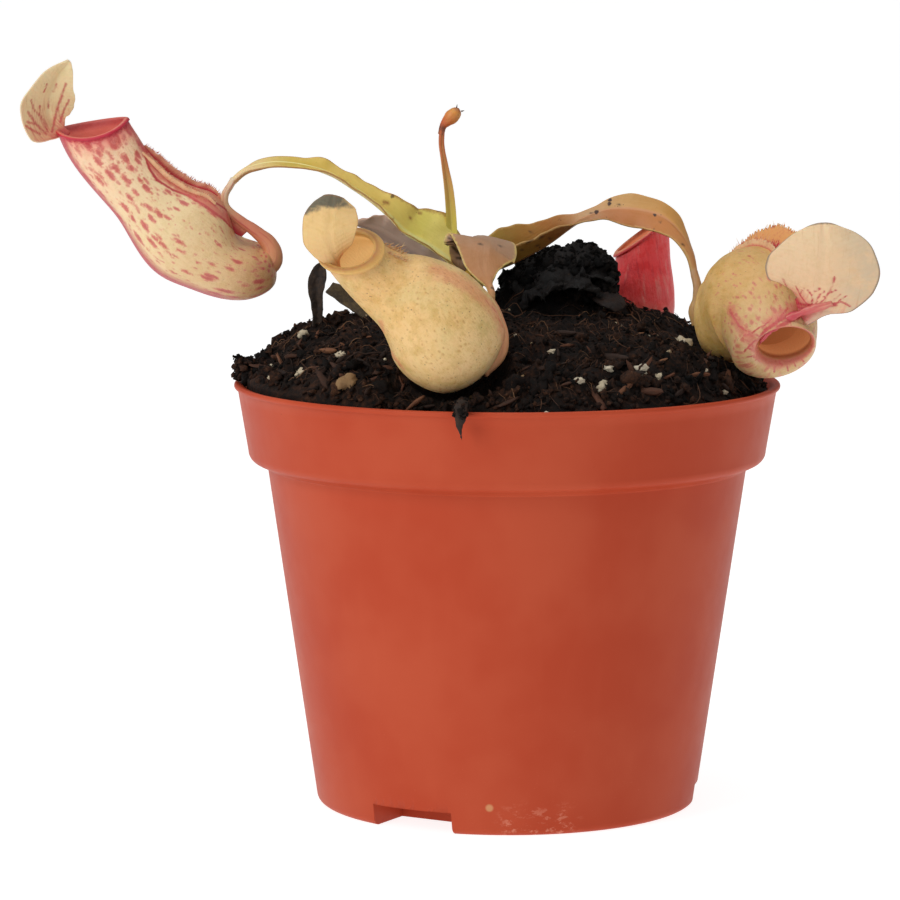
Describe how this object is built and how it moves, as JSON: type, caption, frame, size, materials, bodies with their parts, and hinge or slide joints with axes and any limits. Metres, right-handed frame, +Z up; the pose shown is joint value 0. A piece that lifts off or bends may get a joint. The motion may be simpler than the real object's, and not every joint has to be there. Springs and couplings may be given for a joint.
{
  "type": "potted pitcher plant",
  "caption": "Small carnivorous plant in a round plastic nursery pot heaped with peat, its leaves ending in tendrils that carry hollow lidded pitchers with toothed wings.",
  "frame": {"origin": "centre of the pot's flat underside, on the surface that it stands on", "axes": "+Z up along the pot's axis, -Y towards the viewer of the picture, +X to the viewer's right"},
  "size_m": [0.1853, 0.1236, 0.1652],
  "materials": {
    "pot": "satin, terracotta colour",
    "soil": "loose dark peat compost, matt",
    "stem": "matt",
    "leaf": "satin, yellow-green",
    "leaf_old": "satin, yellow to orange-brown",
    "leaf_mauve": "satin, mauve-brown",
    "pitcher_speckled": "satin, cream with red flecks",
    "pitcher_cream": "satin, peach cream",
    "pitcher_red": "satin, crimson",
    "lid": "matt, off-white cream",
    "withered": "matt, near black",
    "peat": "matt"
  },
  "bodies": {
    "root": {"pot": "pot", "soil": "soil", "stem": "stem", "leaf_left": "leaf", "leaf_young": "leaf", "bud": "leaf_old", "leaf_front": "leaf_mauve", "leaf_right": "leaf_old", "leaf_behind": "leaf_mauve", "leaf_rear": "leaf", "leaf_basal": "leaf", "pitcher_left": "pitcher_speckled", "pitcher_front": "pitcher_cream", "pitcher_right": "pitcher_cream", "pitcher_rear": "pitcher_red", "lid_left": "lid", "lid_front": "lid", "lid_right": "lid", "lid_rear": "pitcher_red", "withered_black": "withered", "withered_oval": "withered", "withered_upright": "withered", "withered_olive": "withered", "peat_strand": "peat"}
  },
  "joints": []
}
